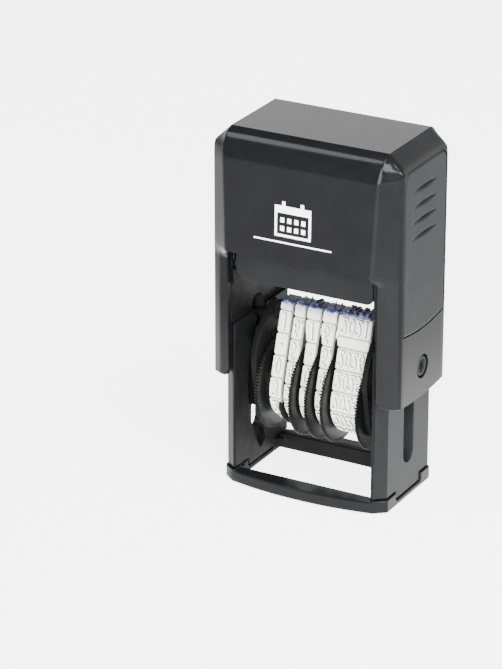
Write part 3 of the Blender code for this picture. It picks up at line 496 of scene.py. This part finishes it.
def cut_out(item, shells):
    """Take closed shapes out of a piece; the shapes stay in no collection of the scene."""
    for points, faces in shells:
        mesh = bpy.data.meshes.new("cutter")
        mesh.from_pydata((np.asarray(points) * MM).tolist(), [], np.asarray(faces).tolist())
        work = bmesh.new()
        work.from_mesh(mesh)
        bmesh.ops.remove_doubles(work, verts=work.verts[:], dist=1e-6)
        bmesh.ops.recalc_face_normals(work, faces=work.faces[:])
        work.to_mesh(mesh)
        work.free()
        cutter = bpy.data.objects.new("cutter", mesh)
        bpy.context.scene.collection.objects.link(cutter)
        change = item.modifiers.new("cut", "BOOLEAN")
        change.operation = "DIFFERENCE"
        change.solver = "EXACT"
        change.object = cutter
        baked = bpy.data.meshes.new_from_object(item.evaluated_get(bpy.context.evaluated_depsgraph_get()))
        item.modifiers.clear()
        item.data = baked
        bpy.data.objects.remove(cutter)
    item.data.shade_smooth()
    item.data.set_sharp_from_angle(angle=math.radians(30))


def make_cap():
    """The press cap, with the recess for each grip panel and the bore for each axle end cut out.

    The arms' inner edges and the faces that look down get the darker matt plastic: painted shade that dulls
    their gloss and darkens the slot beside each arm and the seam under the panel.
    """
    cap = piece("cap_shell_moulded", [cap_surface()], FINISH["cap"], "cap",
                ("cap_shell",), 30.0)
    across = GRIP_HALF * np.sin(np.linspace(-np.pi / 2, np.pi / 2, 41))
    low, high = grip_border(across, 0.0)
    outline = np.concatenate([np.stack([across, low], -1), np.stack([across, high], -1)[::-1]])
    shells = []
    for side in (-1, 1):
        reach = sorted((side * (SIDE_X - 1.3), side * (SIDE_X + 1)))
        shells.append(prism(outline, *reach))
        reach = sorted((side * (ARM_INNER_X - 1), side * (SIDE_X + 1)))
        shells.append(turned([(reach[0], 0), (reach[0], 2.5), (reach[1], 2.5), (reach[1], 0)], AXLE_Z, 64))
    cut_out(cap, shells)
    # Painted shade: these faces of the polished cap take the darker matt plastic.
    cap.data.materials.append(FINISH["matte_and_painted_shade"])
    middles, normals = np.zeros(len(cap.data.polygons) * 3), np.zeros(len(cap.data.polygons) * 3)
    cap.data.polygons.foreach_get("center", middles)
    cap.data.polygons.foreach_get("normal", normals)
    middles, normals = middles.reshape(-1, 3) / MM, normals.reshape(-1, 3)
    arm_edge_painted_shade = ((np.abs(middles[:, 0]) < ARM_INNER_X) & (middles[:, 2] < PANEL_Z)
                & (normals[:, 0] * np.sign(middles[:, 0]) < -0.5))
    lip_painted_shade = ((middles[:, 2] > PANEL_Z - 3) & (normals[:, 2] < -0.1)
           & (np.abs(middles[:, 0]) < LIP_HALF))
    cap.data.polygons.foreach_set("material_index", (arm_edge_painted_shade | lip_painted_shade).astype(np.int32))


def make_grip(side, node):
    """A grip panel: a sheet bounded by its outline, its border rounded off by a quarter circle, with four
    finger grooves whose depth is a smooth hump across and along the groove; a flat back closes it."""
    half = GRIP_HALF - 0.14
    steps = np.array([0.0, 0.03, 0.08, 0.16, 0.27, 0.4])
    across = np.concatenate([-half + steps, np.linspace(-half + 0.6, half - 0.6, 72), half - steps[::-1]])
    low, high = grip_border(across, 0.14)
    steps = steps / 34.0
    share = np.concatenate([steps, np.linspace(0.018, 0.982, 250), 1 - steps[::-1]])[:, None]
    y = np.broadcast_to(across, (len(share), len(across)))
    z = mix(low[None], high[None], share)
    border = np.minimum(np.minimum(half - np.abs(y), z - low[None]), high[None] - z)
    x = SIDE_X - 0.38 * (1 - np.sqrt(1 - (1 - np.clip(border / 0.38, 0, 1)) ** 2))
    for middle, start, end in ((67.4, -5.4, 4.8), (64.1, -5.6, 4.95), (60.9, -6.1, 5.05), (57.6, -6.4, 5.2)):
        reach = (end - start) / 2
        along = np.clip(np.abs(y - (start + end) / 2) / reach, 0, 1)
        width = 0.62 * (1 - along ** 2) + 1e-6
        hollow = np.clip(1 - np.abs((z - middle) / width), 0, 1)
        x = x - 0.75 * ease(hollow) * (1 - along ** 2)
    front = np.stack([side * x, y, z], -1)
    back = np.stack([np.full_like(y, side * (SIDE_X - 1.15)), y, z], -1)
    return piece(node + "_moulded", [slab(front, back)], FINISH["grip"], "cap",
                 (node,), 50.0)


def make_pictogram():
    """A small printed calendar page on the cap's front: flat strips laid on the leaning panel."""
    def strip(x0, x1, z0, z1):
        x, z = np.meshgrid(np.linspace(x0, x1, 3), np.linspace(z0, z1, 3), indexing="xy")
        y = -mix(PANEL_Y, CREASE_Y, (z - PANEL_Z) / (CREASE_Z - PANEL_Z))
        return slab(np.stack([x, y - 0.03, z], -1), np.stack([x, y + 0.05, z], -1))

    cx, z0 = -1.2, 56.6
    shells = [strip(cx - 4.0, cx - 3.5, z0, z0 + 6.4), strip(cx + 3.5, cx + 4.0, z0, z0 + 6.4),
              strip(cx - 3.5, cx + 3.5, z0, z0 + 0.5), strip(cx - 3.5, cx + 3.5, z0 + 4.9, z0 + 6.4),
              strip(cx - 2.4, cx - 1.7, z0 + 6.4, z0 + 7.3), strip(cx + 1.7, cx + 2.4, z0 + 6.4, z0 + 7.3)]
    for column in range(4):
        for row in range(2):
            x0 = cx - 2.75 + column * 1.55
            shells.append(strip(x0, x0 + 0.85, z0 + 1.2 + row * 1.75, z0 + 2.2 + row * 1.75))
    shells.append(strip(cx - 8.6, cx + 8.6, z0 - 1.35, z0 - 1.05))
    return piece("calendar_pictogram", shells, FINISH["mark"], "cap")


# ------------------------------------------------------------------ date unit
def belt_path():
    """Running length, points and outward angle of a band's outer line, from the middle of the type face
    down the front: the line stretched round the wheel and the two edges of the type face."""
    angle = np.radians(np.linspace(90, 450, 1441))
    ahead = np.stack([np.cos(angle), np.sin(angle)], -1)
    centres = np.array([[0.0, SHAFT_Z], [-1.2, TYPE_Z - 1.5], [1.2, TYPE_Z - 1.5]])
    radii = np.array([7.6, 1.5, 1.5])
    chosen = np.argmax(ahead @ centres.T + radii, axis=1)
    line = centres[chosen] + radii[chosen][:, None] * ahead
    start = np.array([0.0, TYPE_Z])
    line = np.concatenate([start[None], line[1:-1], start[None]])
    length = np.concatenate([[0], np.cumsum(np.linalg.norm(np.diff(line, axis=0), axis=1))])
    keep = np.concatenate([[True], np.diff(length) > 1e-9])
    return length[keep], line[keep], angle[keep]


BELT_RUN, BELT_LINE, BELT_ANGLE = belt_path()
BELT_LENGTH = BELT_RUN[-1]


def on_belt(s, x, lift, flare=0.0):
    """Places (s along the belt, x across, lift off its outer line) in space.

    Above the discs x moves to the left by the flare.
    """
    s = np.mod(s, BELT_LENGTH)
    y, z = np.interp(s, BELT_RUN, BELT_LINE[:, 0]), np.interp(s, BELT_RUN, BELT_LINE[:, 1])
    turn = np.interp(s, BELT_RUN, BELT_ANGLE)
    x = x - flare * ease((z - 30.2) / 4.5)
    return np.stack([x, y + lift * np.cos(turn), z + lift * np.sin(turn)], -1)


def glyph_shell(text, width, height, middle_s, middle_x, top, base, flare):
    """Raised figures: letter outlines with sloping flanks, cut into short lengths and wrapped on the belt.

    Their heads point down the front of the belt, so the types print the right way round.
    """
    curve = bpy.data.curves.new("figures", "FONT")
    curve.body = text
    curve.extrude = 0.02
    curve.bevel_depth = 0.045
    curve.bevel_resolution = 0
    curve.offset = -0.022
    curve.resolution_u = 3
    source = bpy.data.objects.new("figures", curve)
    bpy.context.scene.collection.objects.link(source)
    mesh = bpy.data.meshes.new_from_object(source.evaluated_get(bpy.context.evaluated_depsgraph_get()))
    bpy.data.objects.remove(source)
    work = bmesh.new()
    work.from_mesh(mesh)
    bmesh.ops.remove_doubles(work, verts=work.verts[:], dist=1e-5)
    lows = [v.co.y for v in work.verts]
    for part in (0.17, 0.34, 0.5, 0.66, 0.83):
        cut_at = mix(min(lows), max(lows), part)
        bmesh.ops.bisect_plane(work, geom=work.verts[:] + work.edges[:] + work.faces[:], dist=1e-6,
                               plane_co=(0, cut_at, 0), plane_no=(0, 1, 0))
    work.verts.index_update()
    points = np.array([v.co for v in work.verts])
    faces = [[v.index for v in face.verts] for face in work.faces]
    work.free()
    lo, hi = points.min(0), points.max(0)
    share = (points - lo) / (hi - lo)
    figure_height = height if text != "-" else 0.5
    x = middle_x + (share[:, 0] - 0.5) * width
    s = middle_s + (share[:, 1] - 0.5) * figure_height
    level = np.clip((share[:, 2] - 0.66) / 0.33, 0, 1)
    lift = np.where(share[:, 2] > 0.5, mix(base, top, level), base - 0.3)
    return on_belt(s, x, lift, flare), faces, level


ROW = 4.6
BAND_ROWS = (
    (4.4, ("1", "-", "0", "3", "2", "1", "-", "0", "3", "2", "1", "-", "0"), ""),
    (5.2, ("6.", "5.", "4.", "3.", "2.", "1.", "0.", "9.", "8.", "7.", "6.", "5.", "4."), "7."),
    (5.2, ("1", "-", "0", "1", "-", "0", "1", "-", "0", "1", "-", "0", "1"), "0"),
    (5.2, ("6.", "5.", "4.", "3.", "2.", "1.", "0.", "9.", "8.", "7.", "6.", "5.", "4."), "7."),
    (2.7, ("2021", "", "2026", "2025", "2024", "2023", "2022", "2021", "", "2026", "2025", "2024", "2023",
           "2022"), "2022"),
)


def make_band(number):
    """A date band: its closed section (type side, edges, inside) carried along the belt line. The type side
    is stepped into one tile a row, with a fine groove between tiles and a square notch at each edge."""
    low, high = BANDS[number]
    flare = 0.75 if number > 1 else 0.0
    start, rows, top_text = BAND_ROWS[number]
    borders, figures = [-2.3, 2.3], [(top_text, 0.0)]
    place = start
    for text in rows:
        size = 2.3 if text == "" else (4.45 if number == 4 else ROW)
        if place + size > BELT_LENGTH - 2.6:
            break
        borders.append(place)
        figures.append((text, place + size / 2))
        place += size
    borders.append(place)
    borders = np.mod(np.array(borders), BELT_LENGTH)
    s = np.linspace(0, BELT_LENGTH, 720, endpoint=False)
    inset = np.array([0.0, 0.07, 0.16, 0.30, 0.34])
    across = np.concatenate([inset, np.linspace(0.5, high - low - 0.5, 8), (high - low) - inset[::-1]])
    gap = np.abs(s[:, None] - borders[None])
    gap = np.minimum(gap, BELT_LENGTH - gap).min(1)[:, None]
    from_edge = np.minimum(across, (high - low) - across)[None]
    lift = -0.45 - 0.10 * np.clip(1 - gap / 0.16, 0, 1)
    lift = lift - 0.45 * (gap < 0.26) * (from_edge < 0.32)
    lift = lift - 0.10 * np.clip(1 - from_edge / 0.08, 0, 1)
    x = np.broadcast_to(low + across[None], lift.shape)
    spread = flare * (1 - across[None] / (high - low))
    outer = on_belt(np.broadcast_to(s[:, None], lift.shape), x, lift, spread)
    inner_x = np.broadcast_to(np.array([[high, high - 0.1, low + 0.1, low]]), (len(s), 4))
    inner_lift = np.broadcast_to(np.array([[-1.2, -1.3, -1.3, -1.2]]), (len(s), 4))
    inner = on_belt(np.broadcast_to(s[:, None], inner_x.shape), inner_x, inner_lift,
                    flare * (high - inner_x) / (high - low))
    shells = [sheet(np.concatenate([outer, inner], 1), close_rows=True, close_cols=True)]
    points, faces = shells[0][0].tolist(), shells[0][1].tolist()
    # Painted shade on the band: the face a little darker than the figures' tops, darker in the grooves between
    # tiles and along the edges, and the sides and inside darker still.
    painted_shade = 0.9 - 0.4 * np.clip(1 - gap / 0.2, 0, 1) - 0.3 * (from_edge < 0.10)
    painted_shade = np.concatenate([np.broadcast_to(painted_shade, lift.shape), np.full((len(s), 4), 0.6)], 1)
    painted_shade_levels = [painted_shade.reshape(-1)]
    middle = (low + high) / 2
    for text, centre in figures:
        if not text:
            continue
        width = {1: 1.35, 2: 1.95, 4: 5.9}[len(text)] * (0.55 if text in "1-" else 1.0)
        shift = 0.0 if len(text) != 2 else 0.1
        glyph, glyph_faces, height = glyph_shell(text, width, 3.7, centre, middle + shift, 0.0, -0.5,
                                                 flare / 2)
        # The figures' height share sets the painted shade on their flanks.
        painted_shade_levels.append(height)
        glyph_faces = [[index + len(points) for index in face] for face in glyph_faces]
        points += glyph.tolist()
        faces += glyph_faces
    name = f"date_band_{number + 1}"
    mesh = bpy.data.meshes.new(name + "_rubber")
    mesh.from_pydata((np.array(points) * MM).tolist(), [], faces)
    painted_relief_shade = mesh.attributes.new("painted_relief_shade", "FLOAT", "POINT")
    painted_relief_shade.data.foreach_set("value", np.concatenate(painted_shade_levels).astype(np.float32))
    return settle(name + "_rubber", mesh, FINISH["rubber"], "date_unit", (name,), 38.0, 5e-6)


def make_wheel(number):
    """A thumb wheel: the disc's section carried round the shaft with the rim's radius waved by 96 knurls,
    and the plain drum under the band."""
    low, high = DISCS[number]
    knurls, samples = 96, 8
    angle = np.linspace(0, 2 * np.pi, knurls * samples, endpoint=False)[:, None]
    wave = 0.5 + 0.5 * np.cos(angle * knurls)
    face = np.array([(low, 2.0), (low, 9.2), (low + 0.02, 9.5), (low + 0.03, 10.0), (low + 0.10, 10.2),
                     (high - 0.10, 10.2), (high - 0.03, 10.0), (high - 0.02, 9.5), (high, 9.2), (high, 2.0)])
    x = np.broadcast_to(face[:, 0], (len(angle), len(face)))
    rim = np.clip((face[:, 1] - 9.5) / 0.5, 0, 1)
    radius = face[:, 1] - 0.6 * rim * (1 - ease(2.0 * wave - 0.2))
    disc = sheet(np.stack([x, radius * np.cos(angle), SHAFT_Z + radius * np.sin(angle)], -1),
                 close_rows=True, close_cols=True)
    start, end = DRUMS[number]
    drum = turned([(start, 1.85), (start, 5.7), (start + 0.3, 6.0), (end - 0.3, 6.0), (end, 5.7),
                   (end, 1.85)], SHAFT_Z, 64)
    node = f"date_wheel_{number + 1}"
    body = ("day_tens", "day", "month_tens", "month", "year")[number] + "_wheel"
    return piece(node + "_knurled", [disc, drum], FINISH["wheel"], body, (node,), 40.0)


def make_axle(side, node):
    """An axle end: a turned stub, collar, shank and head, with a chamfered ring and a blind hole."""
    profile = [(11.9, 0.0), (11.9, 1.5), (13.5, 1.5), (13.5, 2.9), (13.6, 3.0), (14.3, 3.0), (14.4, 2.9),
               (14.4, 1.75), (18.8, 1.75), (18.8, 2.2), (20.55, 2.2), (20.8, 1.98), (20.8, 1.42), (20.6, 1.32),
               (20.6, 1.12), (20.8, 1.02), (20.8, 0.95), (20.7, 0.85), (19.4, 0.85), (19.4, 0.0)]
    shell = turned([(side * x, radius) for x, radius in profile], AXLE_Z, 80)
    return piece(node + "_turned", [shell], FINISH["frame"], "date_unit", (node,), 30.0)


def make_spring():
    """The return spring: a wire of 0.7 mm wound on a cone, radius 8.0 falling to 4.6 over five turns."""
    share = np.linspace(0, 1, 361)
    angle = 2 * np.pi * 5 * share
    radius = mix(8.0, 4.6, share)
    rise = 52.95 + (73.65 - 52.95) * share
    path = np.stack([radius * np.cos(angle), radius * np.sin(angle), rise], -1)
    thick = 0.35 * np.sqrt(np.clip(np.minimum(share, 1 - share) / 0.002, 0, 1))
    spring = piece("return_spring_wire", [tube(path, thick)], FINISH["steel"], "frame",
                   ("return_spring",), 60.0)
    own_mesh(spring)
    return spring


def make_felt():
    """The inked felt: a rounded slab, its face lowered towards the edge and broken by a fine felted wave."""
    low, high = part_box("ink_pad_felt")
    low, high = np.array(low) / MM, np.array(high) / MM
    u = np.linspace(-1, 1, 81)
    v = np.linspace(-1, 1, 61)
    u, v = np.meshgrid(u, v, indexing="ij")
    x, y = u * high[0], v * high[1]
    edge = np.minimum(high[0] - np.abs(x), high[1] - np.abs(y))
    round_off = 0.6 * (1 - np.sqrt(1 - (1 - np.clip(edge / 0.6, 0, 1)) ** 2))
    fuzz = 0.02 * (1 + np.sin(7.1 * x + 3.3 * np.sin(2.2 * y)) * np.sin(6.3 * y + 2.0 * np.sin(3.1 * x)))
    face = np.stack([x, y, low[2] + round_off + fuzz], -1)
    back = np.stack([x, y, np.full_like(x, high[2])], -1)
    return piece("ink_pad_felt_soft", [slab(face, back)], FINISH["felt"], "ink_pad",
                 ("ink_pad_felt",), 60.0)


def make_hook():
    """The finger between the first two bands: a flattened bar bent round the wheel, its tip rounded."""
    angle = np.radians(np.linspace(188, 262, 60))
    size = 0.40 * np.sqrt(np.clip(np.linspace(0, 1, 60) / 0.06, 0.0, 1))
    size[-1] = 0.0
    path = np.stack([np.full(60, -6.8), 8.05 * np.cos(angle), SHAFT_Z + 8.05 * np.sin(angle)], -1)
    return piece("separator_hook", [tube(path, size)], FINISH["matte_and_painted_shade"], "date_unit", (), 60.0)


# ------------------------------------------------------------------ assembly
make_cap()
make_grip(-1, "left_grip_panel")
make_grip(1, "right_grip_panel")
make_pictogram()
for index in range(5):
    make_band(index)
    make_wheel(index)
make_axle(-1, "left_axle_pin")
make_axle(1, "right_axle_pin")
make_spring()
make_felt()
make_hook()
softened("lower_frame", FINISH["frame"], "frame", 0.22, inside=(16.6, 11.15))
softened("base_ring", FINISH["foot"], "frame", 0.35, 3, inside=(15.6, 9.6))
softened("ink_pad_tray", FINISH["frame"], "ink_pad", 0.25)
softened("left_cheek", FINISH["matte_and_painted_shade"], "date_unit", 0.2)
softened("right_cheek", FINISH["matte_and_painted_shade"], "date_unit", 0.2)
for node, finish in (("type_bridge", "matte_and_painted_shade"), ("wheel_shaft", "steel"), ("shaft_clip", "steel"),
                     ("band_separator", "matte_and_painted_shade")):
    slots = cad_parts[node].data.materials
    slots.clear()
    slots.append(FINISH[finish])


# ------------------------------------------------------------------ floor, light and camera
def make_stage():
    """A pale floor that glows, far brighter in a strip by the stamp: a painted glow that lights the stamp and
    washes out its shadow. Also a pale surround, soft lamps and the camera.
    """
    mesh = bpy.data.meshes.new("floor")
    corners = [(-3, -3, -0.0002), (3, -3, -0.0002), (3, 3, -0.0002), (-3, 3, -0.0002)]
    mesh.from_pydata(corners, [], [(0, 1, 2, 3)])
    material, tree, main, place = shader("pale_floor_painted_glow", (0.50, 0.50, 0.50), 0.8)
    main.inputs["Emission Color"].default_value = (1, 1, 1, 1)
    across = tree.nodes.new("ShaderNodeVectorMath")
    across.operation = "DOT_PRODUCT"
    across.inputs[1].default_value = (0.875, 0.483, 0.0)
    tree.links.new(place.outputs["Object"], across.inputs[0])
    away = tree.nodes.new("ShaderNodeVectorMath")
    away.operation = "DOT_PRODUCT"
    away.inputs[1].default_value = (-0.0386, 0.0700, 0.0)
    tree.links.new(place.outputs["Object"], away.inputs[0])
    shifted = tree.nodes.new("ShaderNodeMath")
    shifted.inputs[1].default_value = 0.016
    tree.links.new(across.outputs["Value"], shifted.inputs[0])
    size = tree.nodes.new("ShaderNodeMath")
    size.operation = "ABSOLUTE"
    tree.links.new(shifted.outputs["Value"], size.inputs[0])
    off = tree.nodes.new("ShaderNodeMath")
    off.operation = "SUBTRACT"
    tree.links.new(size.outputs["Value"], off.inputs[0])
    tree.links.new(away.outputs["Value"], off.inputs[1])
    # Painted glow: the floor emits 4.2 in a strip by the stamp, easing to 0.8 further out.
    painted_glow = tree.nodes.new("ShaderNodeMapRange")
    painted_glow.interpolation_type = "SMOOTHSTEP"
    for key, value in (("From Min", 0.058), ("From Max", 0.105), ("To Min", 4.2), ("To Max", 0.8)):
        painted_glow.inputs[key].default_value = value
    tree.links.new(off.outputs["Value"], painted_glow.inputs["Value"])
    tree.links.new(painted_glow.outputs["Result"], main.inputs["Emission Strength"])
    mesh.materials.append(material)
    floor = bpy.data.objects.new("floor", mesh)
    bpy.context.scene.collection.objects.link(floor)
    world = bpy.data.worlds.new("studio")
    bpy.context.scene.world = world
    world.use_nodes = True
    tree = world.node_tree
    around = tree.nodes.new("ShaderNodeTexCoord")
    axes = tree.nodes.new("ShaderNodeSeparateXYZ")
    tree.links.new(around.outputs["Generated"], axes.inputs["Vector"])
    rise = ramp(tree, axes.outputs["Z"], ((0.36, (1.0, 1.0, 1.0)), (0.50, (0.03, 0.03, 0.03))))
    behind = ramp(tree, axes.outputs["Y"], ((0.05, (0.05, 0.05, 0.05)), (0.35, (1.0, 1.0, 1.0))))
    both = tree.nodes.new("ShaderNodeMix")
    both.data_type = "RGBA"
    both.blend_type = "MULTIPLY"
    both.inputs["Factor"].default_value = 1.0
    tree.links.new(rise.outputs["Color"], both.inputs["A"])
    tree.links.new(behind.outputs["Color"], both.inputs["B"])
    tree.links.new(both.outputs["Result"], tree.nodes["Background"].inputs["Color"])
    tree.nodes["Background"].inputs["Strength"].default_value = 3.2
    for name, place, size, power in (("key", (0.50, -1.05, 0.42), 0.9, 75.0),
                                     ("overhead", (0.30, -0.16, 0.70), 0.30, 10.0),
                                     ("corner", (0.95, -0.40, 0.72), 0.42, 20.0),
                                     ("edge", (-0.50, -0.38, 0.92), 0.30, 5.0)):
        lamp = bpy.data.lights.new(name, "AREA")
        lamp.shape = "SQUARE"
        lamp.size = size
        lamp.energy = power
        item = bpy.data.objects.new(name, lamp)
        item.location = place
        item.rotation_euler = (Vector((0, 0, 0.04)) - Vector(place)).to_track_quat("-Z", "Y").to_euler()
        bpy.context.scene.collection.objects.link(item)
    camera = bpy.data.cameras.new("view")
    camera.lens = 3401 * 36 / 669
    camera.sensor_width = 36
    camera.clip_start = 0.05
    azimuth, rise, distance = math.radians(28.9), math.radians(22.99), 0.6935
    target = Vector((-0.01792, 0.0, 0.02783))
    back = Vector((math.sin(azimuth) * math.cos(rise), -math.cos(azimuth) * math.cos(rise), math.sin(rise)))
    viewer = bpy.data.objects.new("view", camera)
    viewer.location = target + back * distance
    viewer.rotation_euler = (-back).to_track_quat("-Z", "Y").to_euler()
    bpy.context.scene.collection.objects.link(viewer)
    bpy.context.scene.camera = viewer


make_stage()
